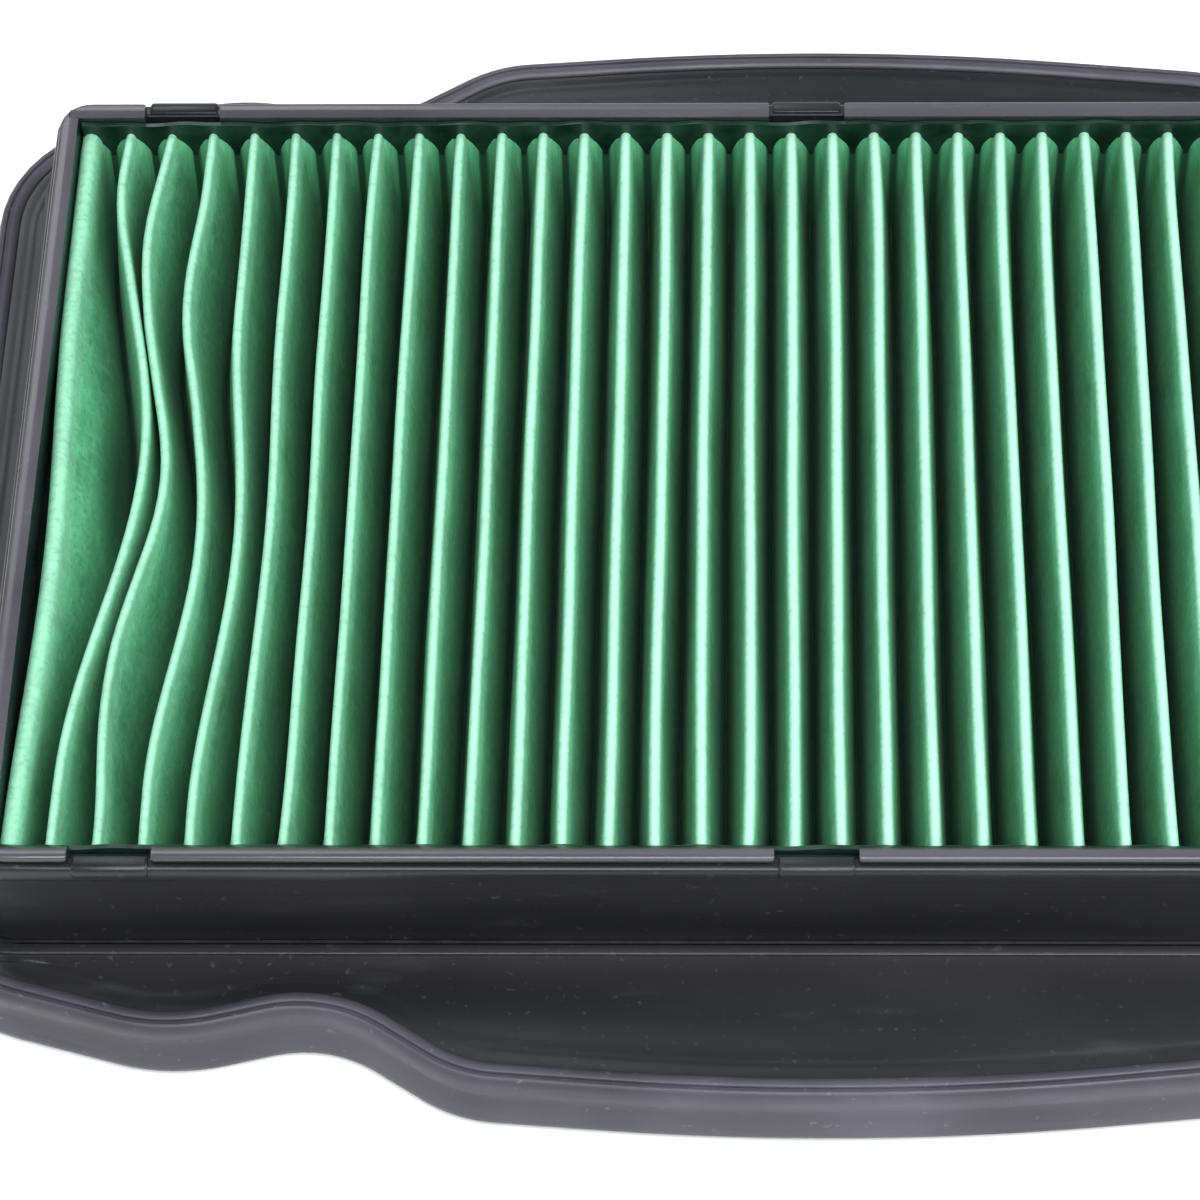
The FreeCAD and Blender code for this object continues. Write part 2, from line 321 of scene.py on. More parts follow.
@dataclass(frozen=True)
class MouldedPlastic(Finish):
    """Satin black polypropylene: fine tool grain, flow marks and dust, with edges lightened partly
    as rubbed wear and partly as painted highlight.

    Below a set height in metres a greenish painted shade darkens the surface; 0 leaves it off.
    """

    colour: tuple[float, float, float] = (0.0068, 0.0068, 0.0078)
    roughness: float = 0.30
    dust: float = 0.25
    specular: float = 0.36
    painted_shade_z: float = 0.0
    rubbed_and_highlight_width: float = 0.0003

    def build(self) -> bpy.types.Material:
        """Build the material.

        Returns:
            The material.
        """
        g = Graph(self.name)
        flow = g.noise(0.030, 3.0, stretch=(0.35, 1.0, 1.6))
        grain = g.noise(0.00035, 3.0)
        specks = g.ramp(g.noise(0.0011, 2.0), 0.66, 0.74)
        scuffs = g.ramp(g.noise(0.004, 5.0, stretch=(0.25, 1.0, 1.0)), 0.60, 0.75)
        light = rgba(*[c * 1.6 + 0.002 for c in self.colour])
        body = g.mix(g.ramp(flow, 0.35, 0.65), rgba(*self.colour), light)
        worn_and_highlight = g.mix(g.math("MULTIPLY", scuffs, 0.08), body, SCUFFED)
        dusted = g.mix(g.math("MULTIPLY", specks, self.dust * 0.5), worn_and_highlight, DUSTY)
        # Convex edges lightened: partly rubbed wear, partly painted highlight.
        edge = g.add("ShaderNodeBevel", {"Radius": self.rubbed_and_highlight_width}, samples=4)
        flat = g.add("ShaderNodeNewGeometry", {}, "Normal")
        facing = g.add("ShaderNodeVectorMath", {0: edge, 1: flat}, "Value", operation="DOT_PRODUCT")
        rim = g.ramp(facing, 0.98, 0.80)
        surface = g.mix(g.math("MULTIPLY", rim, 0.15), dusted, RUBBED_AND_HIGHLIGHT)
        # Painted shade: darker and greenish below a height, with a ragged edge.
        if self.painted_shade_z:
            height = g.add("ShaderNodeSeparateXYZ", {0: g.place}, "Z")
            shade_edge = g.math("ADD", height, g.ramp(scuffs, 0.0, 1.0, 0.0, 0.0002))
            shaded = g.ramp(shade_edge, self.painted_shade_z - 0.0003, self.painted_shade_z + 0.0001, 0.92, 0.0)
            surface = g.mix(shaded, surface, PAINTED_LEG_SHADE)
        rough = g.ramp(g.math("ADD", flow, g.math("MULTIPLY", scuffs, 0.15)), 0.3, 0.9,
                       self.roughness - 0.05, self.roughness + 0.16)
        waves = g.bump(g.noise(0.012, 2.0), 0.00006)
        return g.shade({"Base Color": surface, "Specular IOR Level": self.specular,
                        "Roughness": rough, "Normal": g.bump(grain, 0.000012, waves)})


@dataclass(frozen=True)
class Rubber(Finish):
    """Matte seal rubber: dark warm grey, faint bloom, fine skin and drawn streaks."""

    colour: tuple[float, float, float] = (0.030, 0.027, 0.036)
    bloom: tuple[float, float, float] = (0.072, 0.064, 0.084)

    def build(self) -> bpy.types.Material:
        """Build the material.

        Returns:
            The material.
        """
        g = Graph(self.name)
        streaks = g.noise(0.010, 4.0, stretch=(0.3, 0.3, 4.0))
        cloud = g.noise(0.022, 3.0)
        skin = g.noise(0.0005, 4.0)
        share = g.math("MULTIPLY", g.ramp(cloud, 0.35, 0.70), g.ramp(streaks, 0.3, 0.7, 0.4, 1.0))
        body = g.mix(share, rgba(*self.colour), rgba(*self.bloom))
        specks = g.ramp(g.noise(0.0012, 2.0), 0.68, 0.76)
        dusted = g.mix(g.math("MULTIPLY", specks, 0.30), body, BLOOMED_DUST)
        soft = g.bump(g.noise(0.006, 2.0), 0.00008)
        return g.shade({"Base Color": dusted, "Roughness": g.ramp(streaks, 0.3, 0.7, 0.42, 0.60),
                        "Normal": g.bump(skin, 0.00002, soft)})


@dataclass(frozen=True)
class Glue(Finish):
    """Cured dark adhesive: glossy, pooled and a little lumpy, paler where it pooled."""

    colour: tuple[float, float, float] = (0.003, 0.012, 0.008)
    pooled: tuple[float, float, float] = (0.007, 0.030, 0.019)

    def build(self) -> bpy.types.Material:
        """Build the material.

        Returns:
            The material.
        """
        g = Graph(self.name)
        pools = g.noise(0.004, 4.0)
        body = g.mix(g.ramp(pools, 0.35, 0.7), rgba(*self.colour), rgba(*self.pooled))
        return g.shade({"Base Color": body, "Roughness": g.ramp(pools, 0.3, 0.7, 0.25, 0.45),
                        "Normal": g.bump(pools, 0.0002)})


@dataclass(frozen=True)
class OiledPaper(Finish):
    """Green oiled nonwoven paper: matted fibres and oil mottle, with painted highlight on the
    crests and painted shade down into the valleys.

    The piece carries a UV map in metres along and across the strip, and an attribute named fold
    that is 1 on a crest's tip and 0 at the bottom of a valley; its value sets where the painted
    shade and painted highlight fall.
    """

    # The first colour is the blotches' dark and also the painted shade in the valleys; the last is
    # the painted highlight on the crest tips.
    deep_and_shade: tuple[float, float, float] = (0.030, 0.160, 0.070)
    body: tuple[float, float, float] = (0.110, 0.410, 0.215)
    tip: tuple[float, float, float] = (0.400, 0.690, 0.545)

    def build(self) -> bpy.types.Material:
        """Build the material.

        Returns:
            The material.
        """
        g = Graph(self.name)
        strip = g.add("ShaderNodeUVMap", {}, uv_map="strip")
        fold = g.add("ShaderNodeAttribute", {}, "Fac", attribute_name="fold")
        mottle = g.noise(0.0030, 4.0, strip)
        blotch = g.noise(0.014, 3.0, strip)
        along = g.noise(0.0012, 3.0, strip, stretch=(0.5, 1.0, 1.0))
        across = g.noise(0.0012, 3.0, strip, stretch=(1.0, 0.5, 1.0))
        fibres = g.math("MAXIMUM", along, across)
        fleck = g.noise(0.0008, 3.0, strip)
        deep_and_shade, full, tip = rgba(*self.deep_and_shade), rgba(*self.body), rgba(*self.tip)
        body = g.mix(g.ramp(blotch, 0.35, 0.65), deep_and_shade, full)
        body = g.mix(g.ramp(mottle, 0.30, 0.70, 0.25, 0.85), body, full)
        paler = rgba(*[min(1.0, c * 1.6 + 0.02) for c in self.body])
        fibrous = g.mix(g.ramp(fibres, 0.52, 0.72, 0.0, 0.35), body, paler)
        flecked = g.mix(g.ramp(fleck, 0.55, 0.70, 0.0, 0.50), fibrous, deep_and_shade)
        # Painted shade: darker down the faces and darkest at the valley bottoms.
        low = rgba(*[c * 0.25 for c in self.deep_and_shade])
        shade = g.mix(g.ramp(fold, 0.15, 0.85, 0.50, 0.0), flecked, deep_and_shade)
        shade = g.mix(g.ramp(fold, 0.0, 0.36, 0.92, 0.0), shade, low)
        # Painted highlight: paler near the crest tips and palest on them.
        shoulder = g.mix(g.ramp(fold, 0.82, 0.975, 0.0, 0.20), shade, tip)
        worn_and_highlight = g.math("ADD", fold, g.ramp(fleck, 0.3, 0.7, 0.003, -0.005))
        tipped = g.mix(g.ramp(worn_and_highlight, 0.972, 0.996, 0.0, 0.72), shoulder, tip)
        felt = g.bump(fibres, 0.00010)
        return g.shade({"Base Color": tipped, "Roughness": g.ramp(mottle, 0.3, 0.7, 0.50, 0.70),
                        "Specular IOR Level": 0.18, "Sheen Weight": 0.05,
                        "Sheen Tint": rgba(0.7, 1.0, 0.85), "Normal": g.bump(fleck, 0.00006, felt)})


@dataclass(frozen=True)
class PaleFloor(Finish):
    """White sweep with the faintest unevenness, lit by itself far from the element."""

    def build(self) -> bpy.types.Material:
        """Build the material.

        Returns:
            The material.
        """
        g = Graph(self.name)
        cloud = g.noise(0.4, 2.0)
        sweep = g.mix(cloud, rgba(0.86, 0.86, 0.86), rgba(0.9, 0.9, 0.9))
        away = g.add("ShaderNodeVectorMath", {0: g.place}, "Value", operation="LENGTH")
        return g.shade({"Base Color": sweep, "Roughness": 0.7,
                        "Emission Color": rgba(1.0, 0.965, 0.935),
                        "Emission Strength": g.ramp(away, 0.6, 2.0, 0.0, 0.55)})


SHELL = MouldedPlastic("shell_satin_black")
# The rails' colour is raised well above the shell's black as painted highlight.
RAIL = MouldedPlastic("rail_satin_highlighted", (0.043, 0.039, 0.046), roughness=0.24, dust=0.15,
                      specular=0.5, painted_shade_z=0.0292)
GRID = MouldedPlastic("grid_satin_black", (0.012, 0.012, 0.014), roughness=0.40, dust=0.1)
BEAD = Glue("oiled_end_bead", (0.010, 0.032, 0.025), (0.026, 0.070, 0.054))
SEALANT = Glue("dark_sealant", (0.005, 0.005, 0.006), (0.009, 0.009, 0.010))
SEAL = Rubber("seal_bloomed_rubber")
GLUE = Glue("cured_adhesive")
PAPER = OiledPaper("oiled_paper")


# ---- outlines and lofts -------------------------------------------------------------


@dataclass(frozen=True)
class Corner:
    """A corner of an outline in millimetres, with the radius that rounds it."""

    x: float
    y: float
    radius: float


class Outline:
    """A closed outline in plan, sampled as places and outward directions."""

    def __init__(self, corners: list[Corner], step: float, arc_steps: int = 8) -> None:
        """Sample straight runs joined by tangent arcs.

        Args:
            corners: the corners, anticlockwise.
            step: the longest gap between samples in millimetres.
            arc_steps: the fewest gaps along an arc.
        """
        count = len(corners)
        arcs = [self.arc(corners[i - 1], corners[i], corners[(i + 1) % count], step, arc_steps)
                for i in range(count)]
        places, ways = [], []
        for i, (points, directions) in enumerate(arcs):
            places.append(points)
            ways.append(directions)
            start, end = points[-1], arcs[(i + 1) % count][0][0]
            gaps = max(1, math.ceil(np.hypot(*(end - start)) / step))
            share = (np.arange(1, gaps) / gaps)[:, None]
            places.append(start + (end - start) * share)
            ways.append(np.repeat(directions[-1:], gaps - 1, axis=0))
        self.places = np.concatenate(places)
        self.ways = np.concatenate(ways)

    @staticmethod
    def arc(before: Corner, corner: Corner, after: Corner, step: float,
            arc_steps: int) -> tuple[np.ndarray, np.ndarray]:
        """Sample the arc that rounds a corner.

        Args:
            before: the corner before it.
            corner: the corner that is rounded.
            after: the corner after it.
            step: the longest gap between samples.
            arc_steps: the fewest gaps along the arc.

        Returns:
            The places along the arc and the outward directions there.
        """
        tip = np.array([corner.x, corner.y])
        to_before = np.array([before.x, before.y]) - tip
        to_after = np.array([after.x, after.y]) - tip
        to_before = to_before / np.hypot(*to_before)
        to_after = to_after / np.hypot(*to_after)
        half = math.acos(float(np.clip(to_before @ to_after, -1, 1))) / 2
        middle = to_before + to_after
        centre = tip + middle / np.hypot(*middle) * corner.radius / math.sin(half)
        start = tip + to_before * corner.radius / math.tan(half) - centre
        turn = float(np.cross(-to_before, to_after))
        sweep = math.copysign(math.pi - 2 * half, turn)
        gaps = max(arc_steps, math.ceil(corner.radius * abs(sweep) / step))
        angles = np.linspace(0, sweep, gaps + 1)
        across = np.array([-start[1], start[0]])
        spokes = np.outer(np.cos(angles), start) + np.outer(np.sin(angles), across)
        return centre + spokes, spokes / corner.radius * math.copysign(1.0, turn)

    def ring(self, inset: float, height: float | np.ndarray) -> np.ndarray:
        """The outline moved inwards by an inset, at a height."""
        plan = self.places - self.ways * inset
        return np.column_stack([plan, np.broadcast_to(height, len(plan))])

    def onto_rectangle(self, half_x: float, half_y: float, radius: float,
                       height: float | np.ndarray) -> np.ndarray:
        """Move every place to the nearest point of a rounded rectangle inside the outline.

        Args:
            half_x: half the rectangle's size along X.
            half_y: half its size along Y.
            radius: its corners' radius.
            height: the height of the ring.

        Returns:
            The ring.
        """
        core = np.array([half_x - radius, half_y - radius])
        nearest = np.clip(self.places, -core, core)
        out = self.places - nearest
        plan = nearest + out / np.linalg.norm(out, axis=1)[:, None] * radius
        return np.column_stack([plan, np.broadcast_to(height, len(plan))])


def rounded_rectangle(half_x: float, half_y: float, radius: float) -> list[Corner]:
    """The corners of a rounded rectangle about the origin, anticlockwise."""
    return [Corner(half_x, half_y, radius), Corner(-half_x, half_y, radius),
            Corner(-half_x, -half_y, radius), Corner(half_x, -half_y, radius)]


def loft(name: str, rings: list[np.ndarray], closed: bool) -> bpy.types.Object:
    """Extrude a ring of edges through a row of places.

    Args:
        name: the piece's name.
        rings: places in millimetres, matched from ring to ring.
        closed: whether the last ring joins the first, or both ends are capped.

    Returns:
        The closed shell.
    """
    count = len(rings[0])
    deselect_all()
    bpy.ops.mesh.primitive_circle_add(vertices=count)
    piece = name_active(name)
    mesh = piece.data
    mark = mesh.attributes.new("place", "INT", "POINT")
    mark.data.foreach_set("value", list(range(count)))
    mesh.vertices.foreach_set("co", (rings[0] * MM).ravel())
    bpy.ops.object.mode_set(mode="EDIT")
    bpy.ops.mesh.select_mode(type="EDGE")
    bpy.ops.mesh.select_all(action="SELECT")
    for ring in rings[1:] + (rings[:1] if closed else []):
        bpy.ops.mesh.extrude_edges_move()
        shape = bmesh.from_edit_mesh(mesh)
        place = shape.verts.layers.int["place"]
        for vert in shape.verts:
            if vert.select:
                vert.co = ring[vert[place]] * MM
        bmesh.update_edit_mesh(mesh)
    bpy.ops.mesh.select_all(action="SELECT")
    if not closed:
        bpy.ops.mesh.fill_holes(sides=0)
        bpy.ops.mesh.select_all(action="SELECT")
    bpy.ops.mesh.remove_doubles(threshold=0.000004)
    bpy.ops.mesh.normals_make_consistent(inside=False)
    bpy.ops.object.mode_set(mode="OBJECT")
    mesh.attributes.remove(mesh.attributes["place"])
    return piece


# ---- the flange and its seal --------------------------------------------------------


def wavy_edge() -> Outline:
    """Draw the element's outer edge: a lobe, a dip and a small wave on each long side.

    Returns:
        The outline.
    """
    rear = [Corner(117.6, 68.0, 19.0), Corner(93.5, 76.0, 20.0), Corner(76.8, 72.4, 18.0),
            Corner(61.6, 81.6, 20.0), Corner(4.8, 87.0, 388.0), Corner(-46.0, 83.2, 20.0),
            Corner(-62.8, 72.4, 18.0), Corner(-83.2, 77.3, 28.0), Corner(-117.6, 68.0, 19.0)]
    front = [Corner(corner.x, -corner.y, corner.radius) for corner in reversed(rear)]
    return Outline(rear + front, step=3.0)


@dataclass
class BaseFlange:
    """Wavy lower moulding: plate, skirt, well, grid ledge, kerb and ribs. Millimetres."""

    edge: Outline
    kerb_half: tuple[float, float] = (110.4, 65.3)
    kerb_radius: float = 6.5
    kerb_width: float = 1.5
    kerb_height: float = 0.4
    plate_z: float = 11.2
    plate: float = 2.2
    skirt_inset: float = 1.8
    skirt_wall: float = 2.0
    skirt_z: float = 1.8
    well_half: tuple[float, float] = (105.2, 59.9)
    well_wall: float = 2.0
    ledge: tuple[float, float, float] = (1.5, 3.1, 4.4)
    rib_wall: float = 1.6
    rib_z: float = 6.0
    ribs_x: tuple[float, ...] = (-84.0, -40.0, 0.0, 40.0, 84.0)
    ribs_y: tuple[float, ...] = (-36.0, 0.0, 36.0)

    def rectangle(self, grow: float, height: float, half: tuple[float, float],
                  radius: float) -> np.ndarray:
        """A rounded rectangle ring that is matched to the wavy edge."""
        return self.edge.onto_rectangle(half[0] + grow, half[1] + grow, radius, height)

    def top_rings(self) -> list[np.ndarray]:
        """Draw the kerb and the plate's top, from the glue groove out to the skirt.

        Returns:
            The rings.
        """
        kerb = [(-self.kerb_width, 0.0), (-self.kerb_width, self.kerb_height - 0.3),
                (0.1 - self.kerb_width, self.kerb_height - 0.08),
                (0.3 - self.kerb_width, self.kerb_height), (-0.12, self.kerb_height),
                (0.0, self.kerb_height - 0.08), (0.04, self.kerb_height - 0.2), (0.06, 0.14),
                (0.2, 0.0)]
        rings = [self.rectangle(out, self.plate_z + up, self.kerb_half, self.kerb_radius)
                 for out, up in kerb]
        start = self.rectangle(0.9, self.plate_z, self.kerb_half, self.kerb_radius)
        end = self.edge.ring(6.0, self.plate_z)
        span = np.linalg.norm((end - start)[:, :2], axis=1)
        for share in (0.0, 0.2, 0.45, 0.7, 0.88, 1.0):
            ring = start + (end - start) * share
            crown = 0.35 * math.sin(math.pi * share) * np.clip(span / 14.0, 0, 1)
            ring[:, 2] = self.plate_z - crown
            rings.append(ring)
        roll = [(5.4, -0.10), (4.9, -0.16), (4.4, -0.12), (3.9, -0.03), (3.4, 0.0), (1.95, 0.0)]
        rings += [self.edge.ring(inset, self.plate_z + up) for inset, up in roll]
        return rings

    def under_rings(self) -> list[np.ndarray]:
        """Draw the skirt, the plate's underside and the well, back to the kerb.

        Returns:
            The rings.
        """
        inner = self.skirt_inset + self.skirt_wall
        under = self.plate_z - self.plate
        rings = [self.edge.ring(self.skirt_inset, self.plate_z - 0.15),
                 self.edge.ring(self.skirt_inset, self.skirt_z + 0.2),
                 self.edge.ring(self.skirt_inset + 0.2, self.skirt_z),
                 self.edge.ring(inner - 0.2, self.skirt_z),
                 self.edge.ring(inner, self.skirt_z + 0.2),
                 self.edge.ring(inner, under - 0.3),
                 self.edge.ring(inner + 0.3, under)]
        wall = self.well_wall
        depth, low, high = self.ledge
        for out, height in ((wall + 0.4, under), (wall, under - 0.4), (wall, 1.2),
                            (wall - 0.2, 1.0), (0.2, 1.0), (0.0, 1.2), (0.0, low),
                            (-depth, low), (-depth, high), (0.0, high), (0.0, self.plate_z)):
            radius = 3.0 if out > 0.3 else 1.0
            rings.append(self.rectangle(out, height, self.well_half, radius))
        return rings

    def rib_span(self, place: float, along_x: bool) -> tuple[float, float]:
        """Find how far a rib runs, from the well's wall to the skirt.

        Args:
            place: where it stands along its side.
            along_x: whether it runs along X.

        Returns:
            Its start and end, outwards from the middle.
        """
        axis = 1 if along_x else 0
        near = np.abs(self.edge.places[:, axis] - place) < 4.0
        reach = np.abs(self.edge.places[near, 1 - axis]).min() - self.skirt_inset - 1.0
        start = self.well_half[1 - axis] + self.well_wall - 0.6
        return start, float(reach)

    def build_ribs(self) -> list[bpy.types.Object]:
        """Build the stiffening ribs under the plate, from the well to the skirt.

        Returns:
            The ribs.
        """
        plans = [(x, False) for x in self.ribs_x] + [(y, True) for y in self.ribs_y]
        top = self.plate_z - self.plate / 2
        ribs = []
        for number, (place, along_x) in enumerate(plans):
            start, reach = self.rib_span(place, along_x)
            for side in (-1, 1):
                middle = side * (start + reach) / 2
                length = reach - start
                size = (length, self.rib_wall) if along_x else (self.rib_wall, length)
                centre = (middle, place) if along_x else (place, middle)
                deselect_all()
                bpy.ops.mesh.primitive_cube_add(
                    size=1, location=(centre[0] * MM, centre[1] * MM, (self.rib_z + top) / 2 * MM),
                    scale=(size[0] * MM, size[1] * MM, (top - self.rib_z) * MM))
                rib = name_active(f"flange_rib_{number}_{'left' if side < 0 else 'right'}")
                bevel = rib.modifiers.new("edges", "BEVEL")
                bevel.width = 0.3 * MM
                bevel.segments = 2
                apply_modifiers(rib)
                ribs.append(rib)
        return ribs

    def build(self) -> None:
        """Build the flange and its ribs."""
        piece = loft("flange_moulding", self.top_rings() + self.under_rings(), closed=True)
        smooth(piece)
        finish_piece(piece, SHELL, ["base_flange"])
        for rib in self.build_ribs():
            smooth(rib)
            finish_piece(rib, SHELL, ["base_flange"])


@dataclass
class EdgeSeal:
    """Moulded rubber that wraps the flange's edge."""

    edge: Outline
    top: float = 11.9
    lip: float = 3.1
    foot: float = 4.4
    wall: float = 1.75
    under_lip: float = 11.25

    def section(self) -> Section:
        """Draw the rubber's section, from the lip outwards.

        Returns:
            Inset and height of each point.
        """
        lip = [(self.lip, self.under_lip), (self.lip, self.under_lip + 0.1),
               (self.lip - 0.2, self.top - 0.32), (self.lip - 0.55, self.top - 0.08),
               (self.lip - 0.9, self.top), (1.75, self.top)]
        groove = [(1.6, self.top - 0.1), (1.5, self.top - 0.4), (1.3, self.top - 0.4),
                  (1.2, self.top - 0.12), (1.08, self.top - 0.04)]
        shoulder = [(0.8, self.top - 0.08), (0.45, self.top - 0.35), (0.18, self.top - 0.8),
                    (0.03, self.top - 1.4), (0.0, self.top - 2.2)]
        band = [(0.1, 8.1), (0.30, 7.4), (0.30, 6.9), (0.05, 6.2), (-0.2, 5.4), (-0.45, 4.4),
                (-0.78, 2.4)]
        toe = [(-0.75, 1.5), (-0.40, 0.7), (0.2, 0.25), (1.0, 0.05), (2.1, 0.0)]
        foot = [(self.foot - 0.3, 0.0), (self.foot, 0.3), (self.foot, self.wall - 0.2),
                (self.foot - 0.2, self.wall), (self.wall, self.wall), (self.wall, self.under_lip)]
        return lip + groove + shoulder + band + toe + foot

    def build(self) -> None:
        """Build the seal."""
        rings = [self.edge.ring(inset, height) for inset, height in self.section()]
        piece = loft("rubber_edge_seal", rings, closed=True)
        smooth(piece, 50)
        finish_piece(piece, SEAL, ["edge_seal"])


# ---- the frame, its rails and clips -------------------------------------------------


@dataclass
class PleatFrame:
    """Drafted wall round the pleats, with a shoulder under its top edge. Millimetres."""

    foot_half: tuple[float, float] = (108.4, 63.3)
    top_half: tuple[float, float] = (107.0, 61.9)
    radius: float = 5.0
    inner_half: tuple[float, float] = (105.2, 59.9)
    foot_z: float = 11.2
    top_z: float = 28.0
    shoulder_z: float = 25.6
    shoulder: float = 0.3
    gate: tuple[float, float] = (-27.5, 19.5)
    gate_radius: float = 0.45
    gate_depth: float = 0.4
    plan: Outline = field(init=False)

    def __post_init__(self) -> None:
        """Sample the plan that every ring is matched to."""
        corners = rounded_rectangle(self.foot_half[0] + 1, self.foot_half[1] + 1, self.radius + 1)
        self.plan = Outline(corners, step=7.0)

    def outer(self, height: float, inset: float) -> np.ndarray:
        """Draw a ring of the drafted outer wall.

        Args:
            height: the ring's height.
            inset: how far it is set in from the wall's face.

        Returns:
            The ring.
        """
        share = (height - self.foot_z) / (self.top_z - self.foot_z)
        half = [a + (b - a) * share - inset for a, b in zip(self.foot_half, self.top_half)]
        return self.plan.onto_rectangle(half[0], half[1], self.radius - inset, height)

    def build(self) -> None:
        """Build the frame with the gate mark on its front wall."""
        wall = [(11.2, 0.0), (11.6, 0.0), (12.0, 0.1), (12.6, self.shoulder), (18.0, self.shoulder),
                (self.shoulder_z - 0.5, self.shoulder),
                (self.shoulder_z - 0.2, self.shoulder - 0.08),
                (self.shoulder_z, 0.05), (self.shoulder_z + 0.2, 0.0), (self.top_z - 0.7, 0.0),
                (self.top_z - 0.25, 0.12), (self.top_z - 0.06, 0.35), (self.top_z, 0.7)]
        rings = [self.outer(height, inset) for height, inset in wall]
        for inset, height in ((0.3, self.top_z), (0.0, self.top_z - 0.3), (0.0, self.foot_z)):
            half = [value + inset for value in self.inner_half]
            rings.append(self.plan.onto_rectangle(half[0], half[1], 1.0 + inset, height))
        piece = loft("frame_wall", rings, closed=True)
        smooth(piece)
        finish_piece(piece, SHELL, ["pleat_frame"])
        self.build_gate_mark()

    def build_gate_mark(self) -> None:
        """Build the small round witness where the moulding was fed."""
        x, z = self.gate
        deselect_all()
        face_y = -(self.foot_half[1] - self.shoulder - (z - self.foot_z) / 12.0)
        bpy.ops.mesh.primitive_cylinder_add(
            vertices=24, radius=self.gate_radius * MM, depth=self.gate_depth * MM,
            location=(x * MM, (face_y + 0.12) * MM, z * MM), rotation=(math.pi / 2, 0, 0))
        mark = name_active("frame_gate_mark")
        bpy.ops.object.mode_set(mode="EDIT")
        bpy.ops.mesh.select_mode(type="FACE")
        shape = bmesh.from_edit_mesh(mark.data)
        for facet in shape.faces:
            facet.select_set(facet.normal.y < -0.9)
        bmesh.update_edit_mesh(mark.data)
        bpy.ops.mesh.inset(thickness=0.2 * MM)
        bpy.ops.transform.translate(value=(0, 0.08 * MM, 0))
        bpy.ops.object.mode_set(mode="OBJECT")
        smooth(mark)
        finish_piece(mark, SHELL, [])


@dataclass
class Rail:
    """Retaining rail along one side: a leg inside the wall and a lip over its top.

    along is the axis that it runs along, 0 or 1, and side is -1 or 1. Millimetres.
    """

    name: str
    node: str
    along: int
    side: int
    leg_inner: float
    leg_half: float
    lip_half: float
    corner_half: float
    notches: tuple[float, ...] = ()
    leg: float = 1.3
    lip: float = 1.25
    corner: float = 4.35
    top_z: float = 29.5
    lip_z: float = 28.5
    bottom_z: float = 22.0
    notch_half: float = 5.3
    notch_z: float = 26.4
    slope: float = 0.25
    soft: float = 0.35

    def section(self, reach: float, inner: float = 0.0, notched: bool = False) -> Section:
        """Draw the rail's section.

        Args:
            reach: how far the lip stands out past the leg.
            inner: where the section starts, past the leg where there is only a lip.
            notched: whether the lip is cut away here.

        Returns:
            Distance out from the leg's inner face, and height, of each point.
        """
        low = self.lip_z - 0.01 if inner else self.bottom_z
        top = self.notch_z if notched else self.top_z
        under = top - 0.3 if notched else self.lip_z
        slope = 0.3 if notched else self.slope
        out = self.leg + reach
        rim = min(0.5, 0.3 + reach)
        points = [(0.0, low), (0.0, top - slope), (0.12, top - 0.85 * slope),
                  (self.leg - 0.25, top - 0.12 * slope), (self.leg - 0.05, top), (out - rim, top),
                  (out - 0.6 * rim, top - 0.08 * rim), (out - 0.3 * rim, top - 0.3 * rim),
                  (out - 0.08 * rim, top - 0.6 * rim), (out, top - rim), (out, under + 0.12),
                  (out - 0.12, under), (self.leg, under), (self.leg, low)]
        return [(max(place, inner), height) for place, height in points]

    def reach(self, place: float) -> float:
        """Find how far the lip stands out, which is less near the frame's round corners.

        Args:
            place: where along the rail.

        Returns:
            The reach past the leg.
        """
        into = max(0.0, abs(place) - (self.corner_half - self.corner))
        into = min(into, self.corner)
        cut = self.corner - math.sqrt(self.corner ** 2 - into ** 2)
        return max(0.05, self.lip - cut)

    def stations(self) -> list[tuple[float, Section]]:
        """Lay out the sections along the rail.

        Returns:
            Each place along the rail with its section.
        """
        ends = []
        for back in (0.0, 0.4, 0.9, 1.5, 2.2, 3.1):
            place = self.leg_half - back
            ends.append((place, self.section(self.reach(place))))
        if self.lip_half > self.leg_half:
            for place in np.linspace(self.leg_half + 0.01, self.lip_half, 6):
                ends.append((place, self.section(self.reach(place), self.leg + 0.04)))
        rows = [(-place, section) for place, section in ends] + ends
        for notch in self.notches:
            for way in (-1, 1):
                edge = notch + way * self.notch_half
                rows.append((edge + way * self.soft, self.section(self.lip)))
                rows.append((edge + way * self.soft * 0.2, self.section(self.lip - 0.15)))
                rows.append((edge, self.section(0.0, notched=True)))
        return sorted(rows, key=lambda row: row[0])

    def build(self) -> None:
        """Build the rail by extruding its section along it."""
        rings = []
        for place, section in self.stations():
            ring = np.zeros((len(section), 3))
            ring[:, self.along] = place
            ring[:, 1 - self.along] = [self.side * (self.leg_inner + out) for out, _ in section]
            ring[:, 2] = [height for _, height in section]
            rings.append(ring)
        piece = loft(self.name, rings, closed=False)
        smooth(piece)
        finish_piece(piece, RAIL, [self.node])


